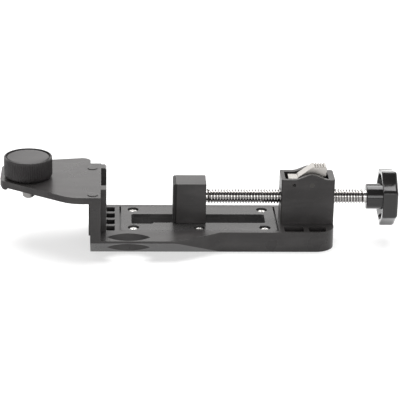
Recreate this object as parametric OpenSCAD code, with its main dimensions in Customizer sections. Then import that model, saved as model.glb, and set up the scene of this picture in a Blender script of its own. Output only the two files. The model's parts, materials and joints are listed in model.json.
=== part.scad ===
// Rod clamp for a survey instrument: a receiver plate with a captive thumb
// screw, a fixed jaw, and a sliding jaw that a screw spindle drives.
// X = 0 is the fixed jaw's contact face, Y = 0 the spindle's plane, Z = 0 the
// underside of the base. +X runs from the fixed jaw towards the hand knob.

/* [Base] */
// Length of the base to the right of the fixed jaw's contact face
base_right = 119.1; // [112:0.1:140]
// Half of the base block's width
base_half = 19.7; // [19:0.1:26]
// Height of the base block
base_h = 10.8; // [10:0.1:16]
// Radius of the two corners at the right end
base_corner_r = 10; // [2:0.5:14]
// Radius of the edge under the fixed jaw
heel_r = 3; // [1:0.5:5]

/* [Reading wing] */
// Reach of the wing's front edge from the spindle's plane
wing_reach = 31.9; // [30:0.1:40]
// Where the wing's front edge starts to run back
wing_turn_x = 36.2; // [30:0.1:50]
// Where the wing dies into the base block
wing_end_x = 59.5; // [52:0.1:75]
// Radius of the wing's outer corner
wing_r = 12; // [2:0.5:16]
// Thickness of the wing's front edge
wing_tip = 1.2; // [0.8:0.1:3]
// Fall of the wing's top face to its front edge
wing_fall = 0.1; // [0:0.1:1]
// Length of the lens-shaped reading window
window_len = 22.3; // [16:0.1:24]
// Width of the reading window
window_w = 10.1; // [6:0.1:10.2]
// Distance of the window's left tip from the fixed jaw's contact face
window_x = 0.5; // [0.3:0.1:4]
// Material left between the window and the wing's front edge
window_web = 0.5; // [0.4:0.1:2]

/* [Fixed jaw] */
// Thickness of the upright wall
wall_t = 5.3; // [4:0.1:9]
// How far the two contact ribs stand out of the wall
rib_out = 2.8; // [1:0.1:5]
// Width of each contact rib
rib_w = 6.1; // [4:0.1:7]
// Distance of the rear rib's far side from the spindle's plane
rear_rib_y = 18.5; // [17:0.1:19]
// Height of the jaw and the receiver plate above the underside
jaw_top = 34.3; // [33:0.1:40]
// How far the stiffening web stands out behind the wall
web_out = 0.9; // [0.5:0.1:3]
// Thickness of the stiffening web
web_t = 1.6; // [1:0.1:3]
// Depth of the coring pockets from the base's top
pocket_deep = 8; // [4:0.1:8.5]
// Length of the four coring pockets at the fixed jaw, along X
core_len = 4.5; // [3:0.1:6]
// Width of each of these pockets
core_w = 6.3; // [4:0.1:6.6]
// Thickness of the ribs between them
core_rib = 2.7; // [2:0.1:3]

/* [Receiver plate] */
// Thickness of the plate
plate_t = 3.4; // [3.2:0.1:6]
// Distance of the plate's left end from the fixed jaw's contact face
plate_end = 55; // [54:0.5:70]
// Reach of the plate's rear edge from the spindle's plane
plate_rear = 28.9; // [25:0.1:34]
// Depth of the lip under the plate's left end
lip_h = 1.2; // [0.5:0.1:3]
// Length of that lip
lip_len = 3.7; // [2:0.1:5]
// Diameter of the two round bosses on the plate's top
boss_d = 5.4; // [3:0.1:6]

/* [Thumb screw] */
// Distance of the thumb screw from the fixed jaw's contact face
thumb_x = 40.6; // [38:0.1:41]
// Radius of the thumb screw, quarter inch thread
thumb_r = 3.175; // [2.5:0.005:4]
// Length of the thumb screw below the plate
thumb_out = 8; // [5:0.1:14]
// Diameter of the knurled thumb knob
thumb_knob_d = 25.1; // [18:0.1:28]
// Height of the thumb knob
thumb_knob_h = 10.9; // [7:0.1:14]
// Number of ribs round the thumb knob
thumb_ribs = 73; // [40:1:90]
// Depth of the knurl
thumb_knurl = 0.35; // [0.1:0.05:0.8]
// Thickness of the washer under the thumb knob
thumb_washer_t = 0.6; // [0.4:0.1:1]
// Radius of that washer
thumb_washer_r = 7; // [5:0.1:9]
// How far the captive screw lifts before its clip stops it
thumb_float = 1.2; // [0.5:0.1:1.2]
// Thickness of the clip that keeps the screw captive
clip_t = 0.6; // [0.4:0.1:0.7]
// Radius of the clip
clip_r = 5; // [4.5:0.1:6]

/* [Slide plate] */
// Left end of the slide plate
slide_x0 = 7.8; // [6.5:0.1:10]
// Right end of the slide plate
slide_x1 = 88.9; // [85:0.1:89.5]
// Half of the slide plate's width
slide_half = 17; // [15.8:0.1:17.4]
// Thickness of the slide plate
slide_t = 2; // [1.8:0.1:3]
// Gap at each end of the slide plate
slide_end_gap = 0.9; // [0.2:0.1:1.2]
// Left end of the slot
slot_x0 = 13.2; // [11.5:0.1:16]
// Right end of the slot
slot_x1 = 83.5; // [82:0.1:86]
// Half of the slot's width
slot_half = 6.15; // [5.5:0.05:7]
// Length of the wider stretch at the slot's left end
notch_len = 11.4; // [6:0.1:14]
// How much wider the slot is there, at the front
notch_out = 1.55; // [0.5:0.05:2]
// Distance of the plate's screws from the spindle's plane
plate_screw_y = 12.8; // [12.7:0.1:13.2]
// Diameter of the plate screws' heads
plate_head_d = 4.4; // [3.6:0.1:4.6]
// How far these heads lie below the plate's face
plate_sink = 0.4; // [0.1:0.1:0.6]
// Gap round these heads in their counterbores
plate_ring = 0.75; // [0.2:0.05:1]
// Depth of these screws in the base, below the plate
plate_screw_deep = 5; // [3:0.1:5.6]

/* [Sliding jaw] */
// Left face of the jaw block, behind its pad
jaw_x0 = 36.3; // [36:0.1:45]
// Length of the jaw block
jaw_len = 15.8; // [15:0.1:20]
// Half of the jaw's width
jaw_half = 7; // [6.6:0.1:9]
// Height of the jaw's top above the underside
slide_jaw_top = 32.6; // [31.5:0.1:37]
// Thickness of the jaw's pad
pad_t = 1.4; // [1:0.1:4]
// Half of the shoe's width below the slide plate
shoe_half = 10.2; // [8.5:0.1:10.2]
// Length of the shoe
shoe_len = 15.4; // [13:0.1:16]
// Thickness of the shoe
shoe_t = 3.35; // [2.8:0.05:4.5]
// Length of the two screws that hold the shoe to the jaw
shoe_screw_len = 9; // [6:0.1:10]
// Radius of those screws' heads
shoe_head_r = 2.5; // [2:0.1:2.6]
// Sliding clearance of the jaw and the shoe on the slide plate
slide_gap = 0.15; // [0.1:0.05:0.3]

/* [Spindle] */
// Height of the spindle's axis above the underside
spindle_z = 23.7; // [23.4:0.1:24.4]
// Outer radius of the spindle's thread
thread_r = 4; // [3.6:0.05:4.05]
// Pitch of the thread
thread_pitch = 1.5; // [1.25:0.25:2]
// Depth of the thread
thread_deep = 0.85; // [0.6:0.05:0.9]
// Length of the spindle's threaded part
thread_len = 83.6; // [80:0.1:100]
// Radius of the spindle's plain ends
journal_r = 3; // [2.4:0.05:3.05]
// Running clearance round the spindle, on the radius
run_gap = 0.05; // [0.03:0.01:0.1]
// Radius of the ring that holds the jaw on the spindle
ring_r = 4.4; // [3.9:0.1:4.6]
// Thickness of that ring
ring_t = 0.9; // [0.6:0.1:1.2]

/* [Hand knob] */
// Diameter of the knob's hub
hub_d = 13.4; // [11:0.1:16]
// Length of the hub
hub_len = 7.5; // [6:0.1:12]
// Diameter of the knob's wheel
wheel_d = 31; // [26:0.1:40]
// Width of the wheel's rim
wheel_w = 8.1; // [5:0.1:10]
// Height of the dome on the wheel's outer face
wheel_dome = 1; // [0.4:0.1:3]
// Depth of the hollow in the wheel's back
back_deep = 4.5; // [0.5:0.1:5]
// Thickness of the wheel's rim round the hollow
back_rim = 3.4; // [3:0.1:5]
// Number of hollow sides round the wheel
valleys = 7; // [5:1:9]
// Radius of each hollow side
valley_r = 60; // [30:1:90]
// Depth of each hollow side below the rim
valley_deep = 1.7; // [1:0.1:1.8]

/* [Nut housing] */
// Left face of the housing
house_x0 = 91.2; // [91:0.1:93]
// Length of the housing
house_len = 28; // [27.9:0.1:30]
// Front face of the housing, measured forward of the spindle's plane
house_front = 7.8; // [7.7:0.1:9]
// Rear face of the housing, measured back from the spindle's plane
house_back = 7.9; // [7:0.1:9]
// Top of the housing's end walls above the underside
house_top = 35.5; // [34.8:0.1:36.2]
// Rise of the two side walls beside the lever
hump_h = 2.7; // [0.5:0.1:3.2]
// Thickness of the housing's front wall
house_front_t = 2; // [1.5:0.1:2.2]
// Thickness of the housing's rear wall
house_back_t = 2.9; // [1.5:0.1:2.9]
// Thickness of the housing's left wall
house_left_t = 2.1; // [1.5:0.1:2.4]
// Thickness of the housing's right wall
house_right_t = 3.2; // [2:0.1:3.4]
// Outer radius of the spindle's bushes
bush_r = 5; // [4.6:0.1:5.4]
// Depth of the two screw holes in the housing
house_screw_deep = 6.5; // [5:0.1:7]

/* [Half nut and lever] */
// Distance of the half nut's pin from the housing's left face
nut_pin_dx = 6.6; // [6.2:0.1:7]
// Distance of the lever's pivot from the housing's left face
lever_pin_dx = 16; // [15.5:0.1:16.5]
// Height of both pins above the underside
pin_z = 32.5; // [32.2:0.1:32.8]
// Radius of the lever's pivot pin
lever_pin_r = 1.15; // [0.9:0.05:1.3]
// Radius of the half nut's pin
nut_pin_r = 0.9; // [0.7:0.05:1]
// Length of the half nut along the spindle
nut_len = 7.4; // [6:0.1:7.6]
// Width of the lever
lever_w = 7; // [6:0.1:8]
// Thickness of the lever's side plates
cheek_t = 1.4; // [1:0.1:1.6]
// Thickness of the lever's arm and thumb pad
lever_t = 1.9; // [1.4:0.1:2.4]
// Height of the thumb pad above the underside
pad_top = 41.4; // [41:0.1:42]
// Length of the thumb pad
pad_len = 7; // [5:0.1:7.4]
// Depth of the thumb pad's curled end
pad_lip = 3.2; // [2.2:0.1:3.4]
// Depth of the thumb pad's side skirts
pad_skirt = 5.2; // [4.4:0.1:5.4]
// Spacing of the grooves across the thumb pad
tooth_pitch = 1.4; // [1:0.1:1.4]
// Travel of the lever, in degrees
lever_travel = 9; // [4:0.5:9]
// Wire diameter of the lever's spring
wire_d = 0.5; // [0.4:0.05:0.6]
// Mean radius of the lever's spring
coil_r = 1.6; // [1.4:0.1:1.7]
// Curls of the lever's spring
coil_turns = 6; // [4:0.5:7]

/* [Hidden] */
$fn = 64;
eps = 0.01;
fit = 0.03;
cut = 1;

// Fixed jaw and plate
wall_x1 = -rib_out;
wall_x0 = -rib_out - wall_t;
// Corners of the receiver plate's outline and their radii, from the front round the left end to the rear
bend_x = 17.9;
bend_r = 18;
end_y0 = -6.6;
end_r0 = 5;
end_y1 = 15.4;
end_r1 = 3.5;
waist_x = 31;
waist_in = 3.9;
waist_r = 30;
rear_r = 4.5;
plate_z0 = jaw_top - plate_t;
front_rib_y = -base_half;
// Thickness left under the wing's top at its front edge
wing_tip_z = base_h - wing_fall;
window_mid_x = window_x + window_len / 2;
window_mid_y = -wing_reach + window_web + window_w / 2;
// The window's two sides are arcs over its length
window_r = (pow(window_len / 2, 2) + pow(window_w / 2, 2)) / window_w;

// Slide plate and the way below it
recess_z = base_h - slide_t;
channel_half = shoe_half + 0.4;
channel_x0 = slot_x0 - 2.2;
channel_x1 = slot_x1 + 3.5;
plate_screw_xs = [slot_x0 + 1, (slot_x0 + slot_x1) / 2, slot_x1 - 0.7];
plate_head_h = 1;
plate_shank_r = 1.2;
plate_recess = 0.284 * plate_head_d;

// Sliding jaw
jaw_x1 = jaw_x0 + jaw_len;
jaw_z0 = base_h + slide_gap;
neck_half = slot_half - 0.25;
neck_x0 = jaw_x0 + 0.7;
neck_x1 = jaw_x1 - 0.6;
shoe_z1 = recess_z - slide_gap;
shoe_z0 = shoe_z1 - shoe_t;
shoe_x0 = (jaw_x0 + jaw_x1) / 2 - shoe_len / 2;
shoe_screw_xs = [jaw_x0 + 3.7, jaw_x1 - 3.6];
shoe_screw_r = 1.4;
shoe_head_h = 1.7;
ring_pocket_r = ring_r + 0.4;
ring_pocket_len = 5.7;
washer_t = 0.8;
washer_r = 4.3;
end_play = 0.1;

// Spindle, from its plain end in the jaw to its end in the knob
thread_x0 = jaw_x1 + end_play;
thread_x1 = thread_x0 + thread_len;
collar_len = 0.6;
collar_r = thread_r - 0.45;
hub_x0 = thread_x1 + collar_len;
hub_x1 = hub_x0 + hub_len;
wheel_x1 = hub_x1 + wheel_w;
stem_x1 = hub_x1 + 4.5;
ring_x1 = jaw_x0 + ring_pocket_len - end_play;
spindle_x0 = ring_x1 - ring_t - 1.6;
roll_pin_r = 1;
roll_pin_x = hub_x0 + hub_len / 2 - 0.2;
roll_pin_angle = 111;

// Nut housing
house_x1 = house_x0 + house_len;
cave_x0 = house_x0 + house_left_t;
cave_x1 = house_x1 - house_right_t;
cave_y0 = -house_front + house_front_t;
cave_y1 = house_back - house_back_t;
cave_mid_y = (cave_y0 + cave_y1) / 2;
cave_z0 = spindle_z - thread_r - 1.2;
shelf_z1 = spindle_z + thread_r + 1.5;
shelf_z0 = shelf_z1 - 1;
nut_pin_x = house_x0 + nut_pin_dx;
lever_pin_x = house_x0 + lever_pin_dx;
hump_x0 = lever_pin_x - 9.4;
hump_x1 = lever_pin_x + 9.2;
house_screw_xs = [house_x0 + 5.8, house_x1 - 5.2];
house_screw_r = 1.5;
house_head_r = 2.9;
house_head_h = 2.5;
house_sink = 0.4;
tip_gap = 0.6;

// Half nut: a saddle on the spindle with a lug up into the lever
nut_gap = 0.1;
nut_x0 = nut_pin_x - nut_len / 2 + 0.1;
nut_half = (cave_y1 - cave_y0) / 2 - 0.35;
nut_z0 = spindle_z + (thread_r + nut_gap) * cos(50);
nut_z1 = shelf_z1;
lug_r = 1.5;
lug_half = lever_w / 2 - cheek_t - 0.3;
pin_half = lever_w / 2;

// Lever
lever_y0 = cave_mid_y - 0.1 - lever_w / 2;
lever_y1 = lever_y0 + lever_w;
lever_mid_y = (lever_y0 + lever_y1) / 2;
foot_x0 = nut_pin_x - 2.8;
arm_x0 = foot_x0 + 5.3;
foot_top = pin_z + 2.5;
foot_t = 0.8;
tooth_deep = 0.8;
pad_nose = 1.2;
pad_x0 = lever_pin_x + 0.8;
pad_x1 = pad_x0 + pad_len;
// As many grooves as fit on the thumb pad
teeth = floor((pad_len - pad_nose) / tooth_pitch + eps);
cheek_x1 = lever_pin_x + 2.6;
cheek_z0 = pin_z - 2.4;
cheek_z1 = pin_z + 4.6;
spring_x = pad_x1 - pad_nose - coil_r - wire_d / 2 - 0.15;
spring_top = pad_top - lever_t - 0.1;

// Thumb screw
washer_z1 = jaw_top + 0.2;
knob_roof = 2.5;
washer_z0 = washer_z1 - thumb_washer_t;
thumb_knob_z1 = washer_z1 + thumb_knob_h;
thumb_tip_z = plate_z0 - thumb_out;
clip_z0 = plate_z0 + 0.1;
clip_pocket_z = clip_z0 + clip_t + thumb_float + 0.1;
groove_r = thumb_r - 0.55;
thumb_hole_r = thumb_r + 0.225;

echo(travel_to_knob = hub_x0 - house_x1, travel_to_slot = slot_x1 - neck_x1);

// Points of a rounded corner p between a and b, for plan outlines
function corner(a, p, b, r, n) =
    let (u = (a - p) / norm(a - p), v = (b - p) / norm(b - p), half = acos(u * v) / 2,
        c = p + (u + v) / norm(u + v) * r / sin(half),
        s = p + u * r / tan(half) - c, e = p + v * r / tan(half) - c,
        a0 = atan2(s.y, s.x), d = atan2(e.y, e.x) - a0,
        da = d > 180 ? d - 360 : d < -180 ? d + 360 : d)
    [for (i = [0:n]) c + r * [cos(a0 + da * i / n), sin(a0 + da * i / n)]];

// Outline with each point [x, y, r] rounded to its radius
function rounded(pts, n = 6) = let (k = len(pts))
    [for (i = [0:k - 1]) let (p = pts[i], a = pts[(i + k - 1) % k], b = pts[(i + 1) % k])
        each p[2] > 0 ? corner([a.x, a.y], [p.x, p.y], [b.x, b.y], p[2], n) : [[p.x, p.y]]];

// Turn a solid drawn along Z to lie along X, and an outline in X and Z to run along Y
module along_x(x, y = 0, z = 0) { translate([x, y, z]) rotate([0, 90, 0]) children(); }
module along_y(y0, y1) { translate([0, y1, 0]) rotate([90, 0, 0]) linear_extrude(y1 - y0) children(); }
module box(x0, x1, y0, y1, z0, z1) { translate([x0, y0, z0]) cube([x1 - x0, y1 - y0, z1 - z0]); }

// Box with rounded upright edges
module soft_box(x0, x1, y0, y1, z0, z1, r) {
    translate([0, 0, z0]) linear_extrude(z1 - z0)
        polygon(rounded([[x0, y0, r], [x1, y0, r], [x1, y1, r], [x0, y1, r]]));
}

// Slot-shaped cutter between x0 and x1
module slot_cut(x0, x1, half, z0, z1, r) { soft_box(x0, x1, -half, half, z0, z1, r); }

// Pan-head screw with a cross recess: head down from z, shank below it
module cross_screw(head_r, head_h, shank_r, len, recess) {
    difference() {
        union() {
            translate([0, 0, -head_h]) cylinder(r = head_r, h = head_h);
            translate([0, 0, -head_h - len]) cylinder(r = shank_r, h = len + eps);
        }
        for (a = [0, 90]) rotate([0, 0, a])
            box(-recess, recess, -recess * 0.26, recess * 0.26, -head_h * 0.6, cut);
    }
}

// Base block with the rounded right end and the rounded heel
module base_block() {
    difference() {
        union() {
            box(wall_x0, base_right - base_corner_r, -base_half, base_half, 0, base_h);
            box(base_right - base_corner_r - eps, base_right, -base_half + base_corner_r,
                base_half - base_corner_r, 0, base_h);
            for (s = [-1, 1]) translate([base_right - base_corner_r, s * (base_half - base_corner_r), 0])
                cylinder(r = base_corner_r, h = base_h);
        }
        heel_cut();
    }
}

// Rounds the edge under the fixed jaw
module heel_cut() {
    difference() {
        box(wall_x0 - cut, wall_x0 + heel_r, -wing_reach - cut, base_half + cut, -cut, heel_r);
        translate([wall_x0 + heel_r, base_half + 2 * cut, heel_r]) rotate([90, 0, 0])
            cylinder(r = heel_r, h = base_half + wing_reach + 4 * cut);
    }
}

// Bevelled reading wing in front of the base block
module reading_wing() {
    intersection() {
        translate([wall_x0, 0, 0]) rotate([90, 0, 90]) linear_extrude(wing_end_x - wall_x0)
            polygon([[-base_half + cut, 0], [-base_half, 0], [-wing_reach, wing_tip_z - wing_tip],
                [-wing_reach, wing_tip_z], [-base_half, base_h], [-base_half + cut, base_h]]);
        linear_extrude(base_h)
            polygon(rounded([[wall_x0, -base_half + cut, 0], [wall_x0, -wing_reach, 0],
                [wing_turn_x, -wing_reach, wing_r], [wing_end_x, -base_half, 0],
                [wing_end_x, -base_half + cut, 0]]));
    }
}

// The window: where two upright cylinders cross
module window_cut() {
    translate([window_mid_x, window_mid_y, -cut]) intersection() {
        window_side(-1);
        window_side(1);
    }
}
module window_side(s) {
    translate([0, s * (window_r - window_w / 2), 0]) cylinder(r = window_r, h = base_h + 2 * cut, $fn = 128);
}

// Upright wall of the fixed jaw, with its underside on the wing's bevel
module jaw_wall() {
    difference() {
        translate([wall_x0, 0, 0]) rotate([90, 0, 90]) linear_extrude(wall_t)
            polygon([[base_half, 0], [base_half, jaw_top], [-wing_reach, jaw_top],
                [-wing_reach, wing_tip_z - wing_tip], [-base_half, 0]]);
        heel_cut();
    }
}

module contact_ribs() {
    box(wall_x1 - eps, 0, front_rib_y, front_rib_y + rib_w, base_h - eps, jaw_top);
    difference() {
        box(wall_x1 - eps, 0, rear_rib_y - rib_w, rear_rib_y, base_h - eps, jaw_top);
        translate([0, 0, jaw_top]) rotate([0, 45, 0]) cube([1.2, 3 * base_half, 1.2], center = true);
    }
}

// Outline of the receiver plate, seen from above
module plate_outline() {
    polygon(rounded([[wall_x1, -wing_reach, 0], [-bend_x, -wing_reach, bend_r], [-plate_end, end_y0, end_r0],
        [-plate_end, end_y1, end_r1], [-waist_x, plate_rear - waist_in, waist_r],
        [wall_x0 - 0.35, plate_rear, rear_r],
        [wall_x0 - 0.35, base_half, 0], [wall_x1, base_half, 0]], 8));
}

module receiver_plate() {
    translate([0, 0, plate_z0]) linear_extrude(plate_t) plate_outline();
    intersection() {
        translate([0, 0, plate_z0 - lip_h]) linear_extrude(lip_h + eps) plate_outline();
        translate([-plate_end + 0.5 + lip_len / 2, plate_rear + cut, plate_z0 - lip_h + lip_len / 2])
            rotate([90, 0, 0]) cylinder(d = lip_len, h = plate_rear + wing_reach + 2 * cut);
    }
    translate([wall_x0 + 0.7, 12.7, jaw_top - eps]) cylinder(d = boss_d, h = 0.3 + eps);
    translate([wall_x0 + 1.3, -wing_reach + 5, jaw_top - eps]) cylinder(d = boss_d, h = 0.3 + eps);
    box(wall_x0 - web_out, wall_x0 + eps, -base_half, -base_half + web_t, base_h - 1.9, plate_z0 + eps);
}

// Pockets that core the thick block
module core_pockets() {
    z0 = base_h - pocket_deep;
    for (i = [0:3]) let (y0 = -17.4 + i * (core_w + core_rib))
        soft_box(0.05, core_len, y0, y0 + core_w, z0, base_h + cut, 0.6);
    for (s = [-1, 1]) {
        y0 = s < 0 ? -18.1 : 11.8;
        soft_box(house_x0 + 1.6, house_x0 + 11.8, y0, y0 + 6.3, z0, base_h + cut, 0.6);
        soft_box(house_x0 + 14.4, house_x0 + 23.3, y0, y0 + 6.3, z0, base_h + cut, 0.6);
    }
}

module base_frame() {
    color("#2c2c2e") difference() {
        union() {
            base_block();
            reading_wing();
            jaw_wall();
            contact_ribs();
            receiver_plate();
        }
        window_cut();
        core_pockets();
        box(slide_x0 - slide_end_gap, slide_x1 + slide_end_gap, -slide_half - 0.1, slide_half + 0.1,
            recess_z, base_h + cut);
        slot_cut(channel_x0, channel_x1, channel_half, -cut, recess_z + cut, 2);
        for (x = plate_screw_xs, s = [-1, 1])
            translate([x, s * plate_screw_y, recess_z - plate_screw_deep - 0.5])
                cylinder(r = plate_shank_r + fit, h = plate_screw_deep + cut);
        for (x = house_screw_xs) translate([x, 0, -cut]) {
            cylinder(r = house_screw_r + 0.2, h = base_h + 2 * cut);
            cylinder(r = house_head_r + 0.3, h = cut + house_head_h + 0.5);
        }
        translate([-thumb_x, 0, 0]) {
            translate([0, 0, washer_z0]) cylinder(r = thumb_washer_r + 0.2, h = plate_t);
            translate([0, 0, plate_z0 - cut]) cylinder(r = thumb_hole_r, h = plate_t + 2 * cut);
            translate([0, 0, plate_z0 - cut]) cylinder(r = clip_r + 0.5, h = clip_pocket_z - plate_z0 + cut);
        }
    }
}

module slide_plate() {
    color("#38383b") difference() {
        soft_box(slide_x0, slide_x1, -slide_half, slide_half, recess_z, base_h, 0.8);
        slot_cut(slot_x0, slot_x1, slot_half, recess_z - cut, base_h + cut, 1.5);
        soft_box(slot_x0, slot_x0 + notch_len, -slot_half - notch_out, 0, recess_z - cut, base_h + cut, 1);
        for (x = plate_screw_xs, s = [-1, 1]) translate([x, s * plate_screw_y, 0]) {
            translate([0, 0, recess_z - cut]) cylinder(r = plate_shank_r + 0.15, h = slide_t + 2 * cut);
            translate([0, 0, base_h - plate_head_h - plate_sink])
                cylinder(d = plate_head_d + 2 * plate_ring, h = slide_t);
        }
    }
}

module slide_plate_screws() {
    color("#c9cbd0") for (x = plate_screw_xs, s = [-1, 1])
        translate([x, s * plate_screw_y, base_h - plate_sink])
        cross_screw(plate_head_d / 2, plate_head_h, plate_shank_r,
            slide_t - plate_head_h - plate_sink + plate_screw_deep, plate_recess);
}

// Profile of the sliding jaw from the front: a block with a small left top chamfer
module sliding_jaw() {
    color("#333335") difference() {
        union() {
            soft_box(jaw_x0, jaw_x1, -jaw_half, jaw_half, jaw_z0, slide_jaw_top, 0.6);
            slot_cut(neck_x0, neck_x1, neck_half, shoe_z1, jaw_z0 + eps, 1.2);
        }
        along_x(jaw_x0 - cut, 0, spindle_z) {
            cylinder(r = journal_r + run_gap, h = jaw_len + 2 * cut);
            cylinder(r = ring_pocket_r, h = ring_pocket_len + cut);
        }
        along_x(jaw_x1 - washer_t, 0, spindle_z) cylinder(r = washer_r + 0.1, h = washer_t + cut);
        for (x = shoe_screw_xs) translate([x, 0, shoe_z1 - cut])
            cylinder(r = shoe_screw_r + fit, h = shoe_screw_len - 0.5 + cut);
    }
}

module jaw_pad() {
    color("#2a2a2c") difference() {
        box(jaw_x0 - pad_t, jaw_x0, -jaw_half, jaw_half, jaw_z0 + 0.1, slide_jaw_top);
        translate([jaw_x0 - pad_t, 0, slide_jaw_top]) rotate([0, 45, 0])
            cube([1, 3 * jaw_half, 1], center = true);
    }
}

module jaw_shoe() {
    color("#3a3a3d") difference() {
        soft_box(shoe_x0, shoe_x0 + shoe_len, -shoe_half, shoe_half, shoe_z0, shoe_z1, 1.5);
        for (x = shoe_screw_xs) translate([x, 0, shoe_z0 - cut]) {
            cylinder(r = shoe_screw_r + 0.2, h = shoe_t + 2 * cut);
            cylinder(r = shoe_head_r + 0.2, h = cut + shoe_head_h + 0.1);
        }
    }
}

module jaw_shoe_screws() {
    color("#c9cbd0") for (x = shoe_screw_xs) translate([x, 0, shoe_z0 + 0.1]) mirror([0, 0, 1])
        cross_screw(shoe_head_r, shoe_head_h, shoe_screw_r, shoe_screw_len, 0.56 * shoe_head_r);
}

module thrust_washer() {
    color("#b9bcc2") along_x(jaw_x1 - washer_t, 0, spindle_z) difference() {
        cylinder(r = washer_r, h = washer_t + end_play / 2);
        translate([0, 0, -cut]) cylinder(r = journal_r + run_gap, h = washer_t + 2 * cut);
    }
}

// Spindle as one turned profile: journal, ring groove, thread ridges, collar, stem
module spindle() {
    n = floor(thread_len / thread_pitch);
    r0 = thread_r - thread_deep;
    groove = journal_r - 0.6;
    p = thread_pitch;
    x0 = thread_x0 + (thread_len - n * p) / 2;
    ridges = [for (i = [0:n - 1]) each [[r0, x0 + i * p + 0.1 * p], [thread_r, x0 + i * p + 0.36 * p],
        [thread_r, x0 + i * p + 0.64 * p], [r0, x0 + i * p + 0.9 * p]]];
    color("#c4c7cd") difference() {
        along_x(0, 0, spindle_z) rotate_extrude($fn = 48) polygon(concat(
            [[0, spindle_x0], [journal_r - 0.4, spindle_x0], [journal_r, spindle_x0 + 0.4],
            [journal_r, ring_x1 - ring_t], [groove, ring_x1 - ring_t], [groove, ring_x1],
            [journal_r, ring_x1], [journal_r, thread_x0], [r0, thread_x0]],
            ridges,
            [[r0, thread_x1], [collar_r, thread_x1 + 0.01], [collar_r, hub_x0], [journal_r, hub_x0],
            [journal_r, stem_x1 - 0.3], [journal_r - 0.3, stem_x1], [0, stem_x1]]));
        roll_pin_hole(roll_pin_r + 0.02);
    }
}

module roll_pin_hole(r) {
    translate([roll_pin_x, 0, spindle_z]) rotate([roll_pin_angle, 0, 0])
        translate([0, -hub_d, 0]) rotate([-90, 0, 0]) cylinder(r = r, h = 2 * hub_d);
}

module spindle_retaining_ring() {
    color("#7d8086") along_x(ring_x1 - ring_t + fit, 0, spindle_z) difference() {
        cylinder(r = ring_r, h = ring_t - 2 * fit);
        translate([0, 0, -cut]) cylinder(r = journal_r - 0.6 + fit, h = ring_t + 2 * cut);
    }
}

// Lobed wheel with a domed outer face, on a round hub
module hand_knob() {
    rim = wheel_d / 2;
    step = 360 / valleys;
    color("#1b1b1d") difference() {
        along_x(0, 0, spindle_z) rotate_extrude($fn = 96) polygon(concat(
            [[0, hub_x0], [hub_d / 2 - 0.5, hub_x0], [hub_d / 2, hub_x0 + 0.5], [hub_d / 2, hub_x1 + back_deep],
                [rim - back_rim, hub_x1 + back_deep], [rim - back_rim, hub_x1]],
            [for (a = [0:30:90]) [rim - 0.6 + 0.6 * sin(a), hub_x1 + 0.6 - 0.6 * cos(a)]],
            [for (a = [0:22.5:90]) [rim - 1 + cos(a), wheel_x1 - 1 + sin(a)]],
            [for (t = [1:6]) [(rim - 1) * (1 - t / 6), wheel_x1 + wheel_dome * sin(15 * t)]]));
        along_x(hub_x1, 0, spindle_z) for (k = [0:valleys - 1])
            let (f = 26 + (k + 0.5) * step, d = rim + valley_r - valley_deep)
                translate([-d * sin(f), -d * cos(f), 0.01])
                    cylinder(r = valley_r, h = wheel_w + wheel_dome + cut, $fn = 256);
        along_x(hub_x0 - cut, 0, spindle_z) cylinder(r = journal_r + fit, h = stem_x1 - hub_x0 + 0.2 + cut);
        roll_pin_hole(roll_pin_r + 0.02);
    }
}

module knob_roll_pin() {
    color("#9a9da3") translate([roll_pin_x, 0, spindle_z]) rotate([roll_pin_angle, 0, 0])
        translate([0, -hub_d / 2 + 0.3, 0]) rotate([-90, 0, 0]) cylinder(r = roll_pin_r, h = hub_d - 0.6);
}

// Side wall outline of the housing, with its smooth rise beside the lever
module house_side() {
    span = hump_x1 - hump_x0;
    polygon(concat([[house_x0, base_h], [house_x0, house_top]],
        [for (i = [0:16]) [hump_x0 + span * i / 16, house_top + hump_h * (1 - cos(360 * i / 16)) / 2]],
        [[house_x1, house_top], [house_x1, base_h]]));
}

module nut_housing() {
    color("#323234") difference() {
        union() {
            difference() {
                intersection() {
                    along_y(-house_front, house_back) house_side();
                    soft_box(house_x0, house_x1, -house_front, house_back, base_h, house_top + 2 * hump_h, 1.2);
                }
                box(cave_x0, cave_x1, cave_y0, cave_y1, cave_z0, house_top + 2 * hump_h);
                box(house_x0 - cut, house_x1 + cut, cave_y0, cave_y1, house_top, house_top + 2 * hump_h);
            }
            box(spring_x - coil_r - 0.7, cave_x1 + eps, cave_y0 - eps, cave_y1 + eps, shelf_z0, shelf_z1);
        }
        along_x(house_x0 - cut, 0, spindle_z) cylinder(r = bush_r + fit, h = house_left_t + cut + 0.2);
        along_x(cave_x1 - 0.2, 0, spindle_z) cylinder(r = bush_r + fit, h = house_right_t + cut + 0.2);
        translate([nut_pin_x, cave_y0 + cut, pin_z]) rotate([90, 0, 0])
            cylinder(r = nut_pin_r, h = house_front_t + 2 * cut);
        translate([lever_pin_x, cave_y1 + house_back_t - 0.8, pin_z]) rotate([90, 0, 0])
            cylinder(r = lever_pin_r + 0.02, h = house_front + house_back);
        for (x = house_screw_xs) translate([x, 0, base_h - cut])
            cylinder(r = house_screw_r + fit, h = house_screw_deep + cut);
    }
}

module housing_screws() {
    color("#c9cbd0") for (x = house_screw_xs) translate([x, 0, house_sink]) mirror([0, 0, 1])
        cross_screw(house_head_r, house_head_h, house_screw_r,
            base_h + house_screw_deep - house_sink - house_head_h - tip_gap, 0.586 * house_head_r);
}

module bush(x0, x1) {
    color("#a98f4e") along_x(x0, 0, spindle_z) difference() {
        cylinder(r = bush_r, h = x1 - x0);
        translate([0, 0, -cut]) cylinder(r = thread_r + run_gap, h = x1 - x0 + 2 * cut);
    }
}
module spindle_bush_left() { bush(house_x0, cave_x0); }
module spindle_bush_right() { bush(cave_x1, house_x1); }

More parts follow.
